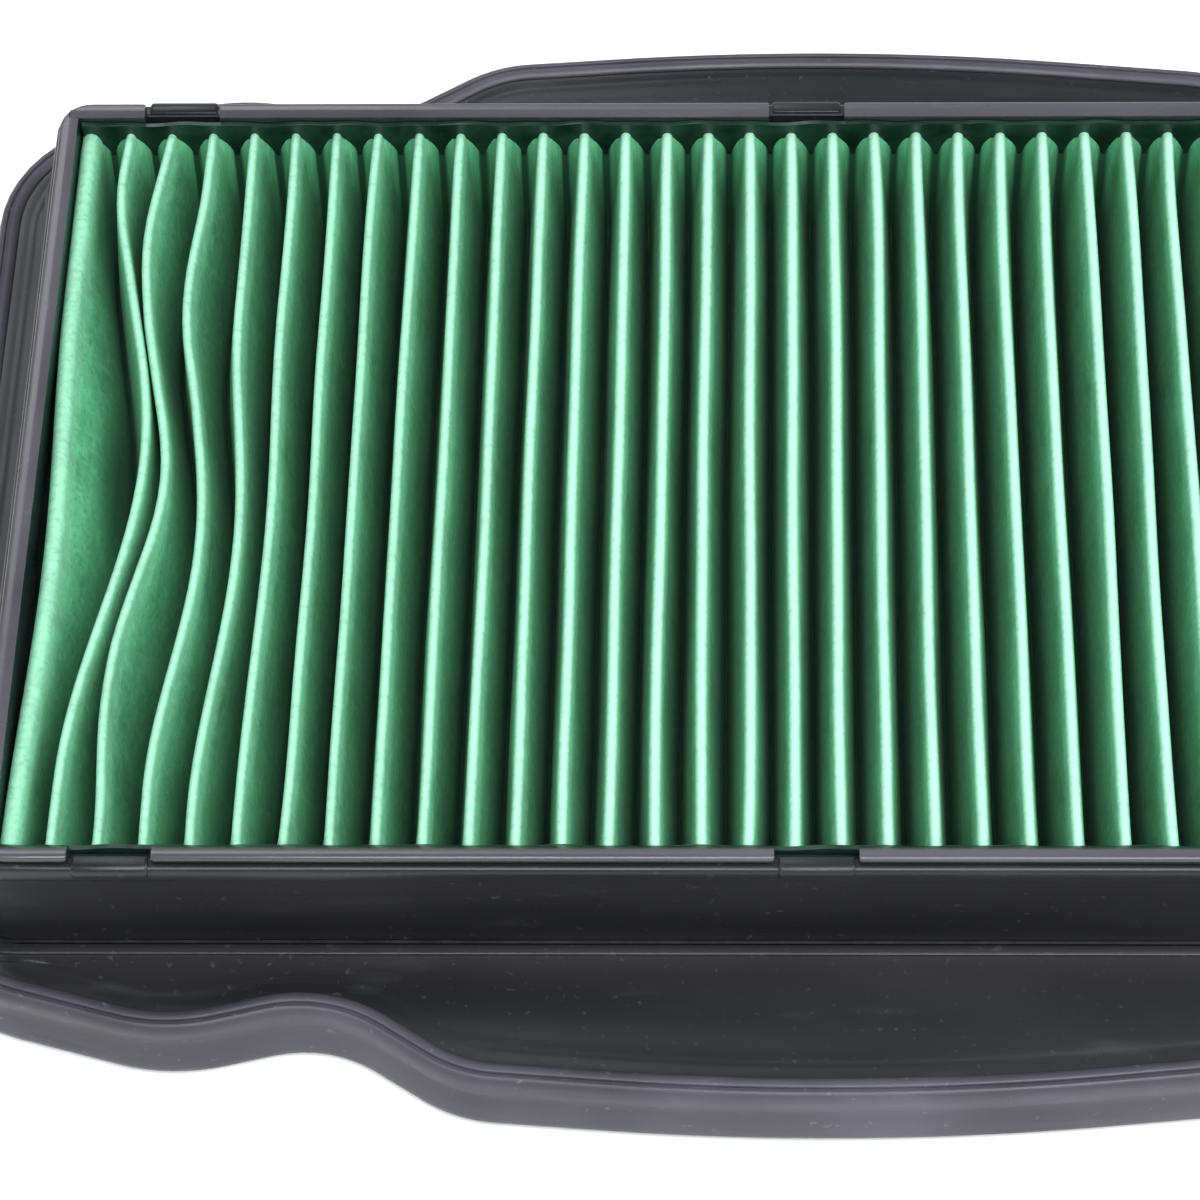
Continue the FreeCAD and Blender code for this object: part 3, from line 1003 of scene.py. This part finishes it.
@dataclass
class RailClips:
    """Snap tongues that hold a long rail, hooked over the frame's top. Millimetres."""

    name: str
    node: str
    side: int
    half_width: float = 4.8
    ends: Section = field(default_factory=lambda: [
        (-1.0, 0.15), (-0.97, 0.05), (-0.92, 0.0), (0.92, 0.0), (0.97, 0.05), (1.0, 0.15)])

    def section(self, pinch: float) -> Section:
        """Draw the tongue's section.

        Args:
            pinch: how much smaller it is drawn, towards the tongue's ends.

        Returns:
            Distance from the middle plane, and height, of each point.
        """
        top = 28.45 - pinch
        return [(60.05, 28.02), (60.05, 28.36 - pinch), (60.2, top), (61.4, top),
                (61.95 - pinch, 28.3 - pinch), (62.2 - pinch, 27.95 - pinch),
                (62.25 - pinch, 26.9 + pinch), (62.22 - pinch, 26.5 + pinch),
                (62.05, 26.4 + pinch), (61.8, 26.6 + pinch), (61.7, 27.4), (61.4, 28.02)]

    def build(self) -> None:
        """Build one tongue, then copy it to the other notches."""
        rings = []
        for x, pinch in self.ends:
            rings.append(np.array([(x * self.half_width, self.side * out, height)
                                   for out, height in self.section(pinch)]))
        first = loft(f"{self.name}_middle", rings, closed=False)
        smooth(first)
        clips = [first]
        for label, way in ENDS.items():
            select_only(first)
            bpy.ops.object.duplicate(linked=False)
            bpy.ops.transform.translate(value=(way * NOTCH_SPACING * MM, 0, 0))
            clips.append(name_active(f"{self.name}_{label}"))
        for clip in clips:
            finish_piece(clip, SHELL, [self.node])


@dataclass
class EndComb:
    """Cured adhesive behind the glued pleat ends of one long side. Millimetres."""

    name: str
    node: str
    side: int
    half_width: float = 103.4
    place: float = 58.05
    thickness: float = 0.6
    bottom: float = 7.6
    top: float = 28.35
    columns: int = 240
    rows: tuple[float, ...] = (0.0, 0.5, 0.85, 1.0)

    def build(self) -> None:
        """Stand a sheet of glue behind the paper's end and thicken it."""
        last = len(self.rows) - 1
        deselect_all()
        bpy.ops.mesh.primitive_grid_add(x_subdivisions=self.columns, y_subdivisions=last, size=2)
        piece = name_active(self.name)
        for vert in piece.data.vertices:
            x = vert.co.x * self.half_width
            row = self.rows[round((vert.co.y + 1) / 2 * last)]
            lumps = 0.16 * math.sin(x / 2.9) + 0.12 * math.sin(x / 1.3 + 1.0)
            height = self.bottom + (self.top + lumps - self.bottom) * row
            vert.co = (x * MM, self.side * self.place * MM, height * MM)
        solid = piece.modifiers.new("thickness", "SOLIDIFY")
        solid.thickness = self.thickness * MM
        solid.offset = 0.0
        apply_modifiers(piece)
        smooth(piece, 50)
        finish_piece(piece, GLUE, [self.node])


# ---- the paper ----------------------------------------------------------------------


@dataclass(frozen=True)
class Push:
    """A stretch of a fold that is pushed sideways, strongest at its middle.

    amount, middle and reach are in millimetres; reach is half the pushed stretch.
    """

    amount: float
    middle: float
    reach: float

    def at(self, y: np.ndarray) -> np.ndarray:
        """Return the sideways shift at each place along the fold."""
        away = np.clip((y - self.middle) / self.reach, -1.0, 1.0)
        return self.amount * np.cos(away * math.pi / 2) ** 2


@dataclass
class PleatedMedia:
    """The folded strip of oiled paper, from its left end leaf to its right one."""

    pitch: float = 5.9
    free_crests: int = 34
    paper: float = 0.5
    crest_half_width: float = 0.55
    left_crest_half_width: float = 0.42
    crest_round: float = 0.80
    end_fold_half_width: float = 1.1
    end_fold_round: float = 2.1
    leaf_bulge: Push = Push(1.2, 10.0, 48.0)
    # Painted shade on the end leaf: a darker patch, given as a drop in its fold value.
    leaf_shade_patch: Push = Push(0.60, 6.0, 30.0)
    end_bulge: float = 0.34
    valley_half_width: float = 0.55
    end_crest_x: float = 102.3
    crest_shift: float = 0.5
    drift: float = 0.55
    skew: float = 0.5
    half_length: float = 57.9
    end_ramp: float = 3.9
    end_depth: float = 5.2
    end_dip: float = 0.5
    end_lip: float = 0.1
    end_lip_drop: float = 2.6
    drift_from: int = 19
    drift_over: int = 6
    most_lean: float = 0.22
    most_turn: float = 0.25
    crest_sway: float = 0.13
    height_sway: float = 0.10
    face_sway: float = 0.16
    first_valley_follow: float = 0.86
    last_valley_share: float = 0.58
    face_places: tuple[float, ...] = (0.2, 0.4, 0.6, 0.8)
    # Fold values on the faces, which set the painted shade: the first at a face's crest end; the
    # next lifts the valley end of the faces on the left, fading out over that many crests, so less
    # shade is painted there.
    edge_tone: float = 0.95
    left_shade_lift: float = 0.42
    shade_lift_crests: int = 18
    rows: int = 46
    seed: int = 7
    pushes: dict[int, list[Push]] = field(default_factory=lambda: {
        0: [Push(1.3, -15, 45)],
        1: [Push(6.9, 2, 50), Push(-0.5, 46, 14)],
        2: [Push(3.9, -2, 28), Push(-1.9, 38, 22), Push(-0.8, -38, 18)],
        3: [Push(3.8, -12, 38), Push(-1.2, 30, 20)],
        4: [Push(2.8, -13, 40)],
        5: [Push(0.9, -10, 40)],
        6: [Push(0.4, -10, 30)],
    })

    def __post_init__(self) -> None:
        """Take the heights from the frame."""
        low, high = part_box("pleated_media")
        self.crest_z = high[2] / MM
        self.valley_z = low[2] / MM
        self.chance = random.Random(self.seed)

    def row_places(self) -> np.ndarray:
        """Space the places across the strip, closer together near its two glued edges.

        Returns:
            The places.
        """
        inner = self.half_length - self.end_ramp
        middle = np.linspace(-inner, inner, self.rows - 8)
        ramp = np.linspace(inner, self.half_length, 6)[1:]
        return np.concatenate([-ramp[::-1], middle, ramp])

    def sway(self, y: np.ndarray, amount: float) -> np.ndarray:
        """Draw a slow random waviness along a fold.

        Args:
            y: places along the fold.
            amount: how far it sways at most.

        Returns:
            The shift at each place.
        """
        first, second = (self.chance.uniform(0, 2 * math.pi) for _ in range(2))
        slow = np.sin(y / 17.0 + first)
        quick = np.sin(y / 6.5 + second)
        return amount * (0.75 * slow + 0.25 * quick)

    def crest_lines(self, y: np.ndarray) -> list[np.ndarray]:
        """Place every crest, the two end crests included.

        Args:
            y: places along the folds.

        Returns:
            X of each crest at each place.
        """
        lines = []
        last = self.free_crests + 1
        for k in range(last + 1):
            if k in (0, last):
                x = np.full_like(y, math.copysign(self.end_crest_x, k - 1))
            else:
                middle = (k - (self.free_crests + 1) / 2) * self.pitch + self.crest_shift
                middle += self.drift * min(1.0, max(0.0, (k - self.drift_from) / self.drift_over))
                lean = self.chance.uniform(-self.most_lean, self.most_lean)
                turn = self.chance.uniform(-self.most_turn, self.most_turn)
                ease = 1.0 - (np.abs(y) / self.half_length) ** 6
                x = middle + self.skew * y / (2 * self.half_length)
                sway = self.sway(y, self.crest_sway)
                x = x + ease * (lean + turn * y / self.half_length + sway)
            for push in self.pushes.get(k, []):
                x = x + push.at(y)
            lines.append(x)
        return lines

    def valley_lines(self, crests: list[np.ndarray]) -> list[np.ndarray]:
        """Place every valley between the crests on its two sides.

        Args:
            crests: X of each crest.

        Returns:
            X of each valley at each place.
        """
        lines = []
        for k in range(len(crests) - 1):
            share = 0.5
            if k == 0:
                rest = -(self.free_crests + 1) / 2 * self.pitch + self.pitch / 2
                moved = crests[1] - (rest + self.pitch / 2)
                lines.append(rest + self.first_valley_follow * moved)
                continue
            if k == len(crests) - 2:
                share = self.last_valley_share
            lines.append(crests[k] * (1 - share) + crests[k + 1] * share)
        return lines

    def tip_shape(self, k: int) -> tuple[float, float, float]:
        """Look up a crest's tip: the crests at the left are sharper and get less painted highlight.

        Args:
            k: the crest's number from the left.

        Returns:
            Half its width, its rounding and how much painted highlight it gets.
        """
        if k in (0, self.free_crests + 1):
            return self.end_fold_half_width, self.end_fold_round, 0.029
        share = min(1.0, max(0.0, (k - 7) / 7))
        sharp = self.left_crest_half_width
        width = sharp + (self.crest_half_width - sharp) * share
        return width, self.crest_round, 0.034 + 0.011 * share

    def columns(self, y: np.ndarray) -> tuple[np.ndarray, np.ndarray, np.ndarray]:
        """Work out the folded strip.

        Args:
            y: places across the strip.

        Returns:
            X, Z and the fold value, highest on a crest's tip, that sets the painted shade and
            highlight: one row per column of the strip and one value per place.
        """
        crests = self.crest_lines(y)
        valleys = self.valley_lines(crests)
        rise = np.clip((np.abs(y) - (self.half_length - self.end_ramp)) / self.end_ramp, 0, 1)
        rise = rise ** 2
        floor = self.valley_z + self.paper / 2
        top = self.crest_z - self.paper / 2
        floor = floor + rise * (top - self.end_depth - floor)
        xs, zs, folds = [], [], []

        def put(x: np.ndarray, z: np.ndarray, fold: float | np.ndarray) -> None:
            """Add one column."""
            for rows, value in ((xs, x), (zs, z), (folds, fold)):
                rows.append(np.broadcast_to(value, y.shape))

        def put_face(start: tuple, end: tuple, bow: np.ndarray, tones: tuple[float, float],
                     shade_patch: float | np.ndarray) -> None:
            """Add the columns of a face.

            Args:
                start: its first edge's place and height.
                end: its last edge's place and height.
                bow: how far it bows sideways.
                tones: the fold value, which sets the painted shade and highlight, at its two edges.
                shade_patch: painted shade, how much lower the fold value is at its middle.
            """
            for t in self.face_places:
                belly = math.sin(math.pi * t)
                put(start[0] + (end[0] - start[0]) * t + bow * belly,
                    start[1] + (end[1] - start[1]) * t,
                    tones[0] * (1 - t) + tones[1] * t - shade_patch * belly)

        last = len(crests) - 1
        for k in range(last + 1):
            height = top - self.end_dip * rise ** 2 + self.sway(y, self.height_sway)
            at_end = k in (0, last)
            # The third value is how much painted highlight the crest's tip gets.
            width, round_off, pale = self.tip_shape(k)
            if k == 0:
                put(crests[k] - width - self.end_lip, height - self.end_lip_drop, 0.9)
            for angle in np.radians(np.linspace(-90, 90, 7)):
                outer = at_end and angle * (0.5 - (k == 0)) > 0
                put(crests[k] + width * math.sin(angle),
                    height - (0.6 if outer else 1.0) * round_off * (1 - math.cos(angle)),
                    0.955 + pale * math.cos(angle))
            if k == last:
                put(crests[k] + width + self.end_lip, height - self.end_lip_drop, 0.9)
                break
            low = self.valley_half_width
            bow_down = self.sway(y, self.face_sway) + self.end_bulge * rise
            bow_up = self.sway(y, self.face_sway) - self.end_bulge * rise
            shade_patch = 0.0
            if k == 0:
                bow_down = bow_down + self.leaf_bulge.at(y)
                # Painted shade on the end leaf: a darker patch across its faces.
                shade_patch = self.leaf_shade_patch.at(y)
            # Less painted shade at the valley end of the faces towards the left.
            face_shade_lift = self.left_shade_lift * max(0.0, 1.0 - k / self.shade_lift_crests)
            put_face((crests[k] + width, height - round_off),
                     (valleys[k] - low, floor + self.crest_round), bow_down,
                     (self.edge_tone, face_shade_lift), shade_patch)
            for angle in np.radians(np.linspace(-90, 90, 5)):
                put(valleys[k] + low * math.sin(angle),
                    floor + self.crest_round * (1 - math.cos(angle)), 0.0)
            width, round_off, _ = self.tip_shape(k + 1)
            put_face((valleys[k] + low, floor + self.crest_round),
                     (crests[k + 1] - width, top - round_off), bow_up,
                     (0.0, self.edge_tone), 0.0)
        return np.array(xs), np.array(zs), np.array(folds)

    def build(self) -> None:
        """Fold a flat grid into the pleated strip."""
        y = self.row_places()
        xs, zs, folds = self.columns(y)
        count = len(folds)
        deselect_all()
        bpy.ops.mesh.primitive_grid_add(x_subdivisions=count - 1, y_subdivisions=len(y) - 1, size=2)
        piece = name_active("pleated_paper")
        mesh = piece.data
        flat = np.empty(len(mesh.vertices) * 3)
        mesh.vertices.foreach_get("co", flat)
        flat = flat.reshape(-1, 3)
        column = np.rint((flat[:, 0] + 1) / 2 * (count - 1)).astype(int)
        row = np.rint((flat[:, 1] + 1) / 2 * (len(y) - 1)).astype(int)
        placed = np.stack([xs[column, row], y[row], zs[column, row]], axis=1) * MM
        mesh.vertices.foreach_set("co", placed.ravel())
        middle = len(y) // 2
        steps = np.hypot(np.diff(xs[:, middle]), np.diff(zs[:, middle])) * MM
        along = np.concatenate([[0.0], np.cumsum(steps)])
        mark = mesh.attributes.new("fold", "FLOAT", "POINT")
        mark.data.foreach_set("value", folds[column, row])
        layer = mesh.uv_layers[0] if mesh.uv_layers else mesh.uv_layers.new()
        layer.name = "strip"
        corner = np.empty(len(mesh.loops), dtype=int)
        mesh.loops.foreach_get("vertex_index", corner)
        uv = np.stack([along[column[corner]], y[row[corner]] * MM], axis=1)
        layer.data.foreach_set("uv", uv.ravel())
        mesh.update()
        solid = piece.modifiers.new("thickness", "SOLIDIFY")
        solid.thickness = self.paper * MM
        solid.offset = 0.0
        apply_modifiers(piece)
        smooth(piece, 60)
        finish_piece(piece, PAPER, ["pleated_media"])


# ---- studio -------------------------------------------------------------------------


@dataclass
class Studio:
    """Pale floor, soft lights and the camera."""

    floor_size: float = 6.0
    camera_place: tuple[float, float, float] = (-0.01063, -0.2813, 0.44334)
    elevation: float = 58.0
    focal_ratio: float = 3.1133
    sensor: float = 36.0
    shift: float = -0.06
    turn: float = 0.05
    sky: tuple[tuple[float, tuple[float, float, float]], ...] = (
        (0.05, (0.96, 0.965, 0.97)), (0.35, (0.80, 0.81, 0.82)), (0.80, (0.40, 0.52, 0.62)),
        (0.93, (0.10, 0.10, 0.11)))
    panels: tuple[tuple[str, tuple[float, float, float], tuple[float, float], float], ...] = (
        ("top_panel", (0.10, -0.42, 1.0), (0.9, 0.5), 14.0),
        ("right_panel", (0.95, -0.1, 0.85), (0.6, 0.6), 7.2),
        ("left_rear_panel", (-0.29, 0.76, 0.94), (0.40, 0.40), 2.2),
        ("left_panel", (-0.95, 0.05, 0.85), (0.45, 0.45), 1.8))

    def build_floor(self) -> None:
        """Lay the floor just under the element."""
        deselect_all()
        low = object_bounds()[0]
        bpy.ops.mesh.primitive_plane_add(size=self.floor_size, location=(0, 0, low[2] - 0.0001))
        floor = name_active("floor")
        floor.data.materials.append(PaleFloor("pale_floor").material())
        floor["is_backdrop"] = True

    def add_panel(self, name: str, place: Vector, size: tuple[float, float], power: float) -> None:
        """Add a soft rectangular light that faces the element.

        Args:
            name: the light's name.
            place: where it hangs, in metres.
            size: its width and height.
            power: its power in watts.
        """
        data = bpy.data.lights.new(name, "AREA")
        data.shape = "RECTANGLE"
        data.size, data.size_y = size
        data.energy = power
        lamp = bpy.data.objects.new(name, data)
        lamp.location = place
        lamp.rotation_mode = "QUATERNION"
        lamp.rotation_quaternion = (-place).to_track_quat("-Z", "Y")
        bpy.context.scene.collection.objects.link(lamp)

    def build_world(self) -> None:
        """Surround the floor with a pale horizon under a dimmer ceiling."""
        world = bpy.data.worlds.new("studio")
        world.use_nodes = True
        tree = world.node_tree
        way = tree.nodes.new("ShaderNodeTexCoord").outputs["Generated"]
        split = tree.nodes.new("ShaderNodeSeparateXYZ")
        tree.links.new(way, split.inputs[0])
        ramp = tree.nodes.new("ShaderNodeValToRGB")
        stops = ramp.color_ramp.elements
        for stop, (place, colour) in ((stops[0], self.sky[0]), (stops[1], self.sky[-1])):
            stop.position, stop.color = place, rgba(*colour)
        for place, colour in self.sky[1:-1]:
            stops.new(place).color = rgba(*colour)
        tree.links.new(split.outputs["Z"], ramp.inputs[0])
        tree.links.new(ramp.outputs[0], tree.nodes["Background"].inputs["Color"])
        bpy.context.scene.world = world

    def build_camera(self) -> None:
        """Point the camera down at the element from the front."""
        data = bpy.data.cameras.new("camera")
        data.sensor_width = self.sensor
        data.lens = self.focal_ratio * self.sensor
        data.shift_x = self.shift
        data.clip_start = 0.01
        camera = bpy.data.objects.new("camera", data)
        tilt = Matrix.Rotation(math.radians(90.0 - self.elevation), 4, "X")
        aside = Matrix.Rotation(math.atan(self.turn / self.focal_ratio), 4, "Y")
        camera.matrix_world = Matrix.Translation(self.camera_place) @ tilt @ aside
        bpy.context.scene.collection.objects.link(camera)
        bpy.context.scene.camera = camera

    def build(self) -> None:
        """Build the studio."""
        self.build_floor()
        self.build_world()
        for name, place, size, power in self.panels:
            self.add_panel(name, Vector(place), size, power)
        self.build_camera()
        view = bpy.context.scene.view_settings
        view.view_transform = "Standard"
        view.look = "None"


LONG_RAIL = {"leg_inner": 58.5, "leg_half": 105.05, "lip_half": 105.05, "corner_half": 106.35,
             "notches": (-NOTCH_SPACING, 0.0, NOTCH_SPACING)}
END_RAIL = {"leg_inner": 103.8, "leg_half": 58.4, "lip_half": 59.7, "corner_half": 61.05}
RAIL_SLOPES = {"front": 1.0, "rear": 0.25}
COMB_TOPS = {"front": 27.2, "rear": 28.35}
CAD_FINISHES = {"support_grid": GRID, "joint_sealant": SEALANT, "left_end_bead": BEAD,
                "right_end_bead": BEAD}


def main() -> None:
    """Build the element's looks and the studio."""
    logging.basicConfig(level=logging.INFO, format="%(name)s: %(message)s")
    edge = wavy_edge()
    BaseFlange(edge).build()
    EdgeSeal(edge).build()
    PleatFrame().build()
    for label, side in SIDES.items():
        Rail(f"{label}_rail_moulding", f"{label}_rail", 0, side, **LONG_RAIL,
             slope=RAIL_SLOPES[label]).build()
        RailClips(f"{label}_clip", f"{label}_rail_clips", side).build()
    for label, side in ENDS.items():
        Rail(f"{label}_rail_moulding", f"{label}_rail", 1, side, **END_RAIL).build()
    PleatedMedia().build()
    for label, side in SIDES.items():
        EndComb(f"{label}_glue_comb", f"{label}_end_comb", side, top=COMB_TOPS[label]).build()
    for node, finish in CAD_FINISHES.items():
        wear(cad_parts[node], finish)
    Studio().build()


if __name__ == "__main__":
    main()
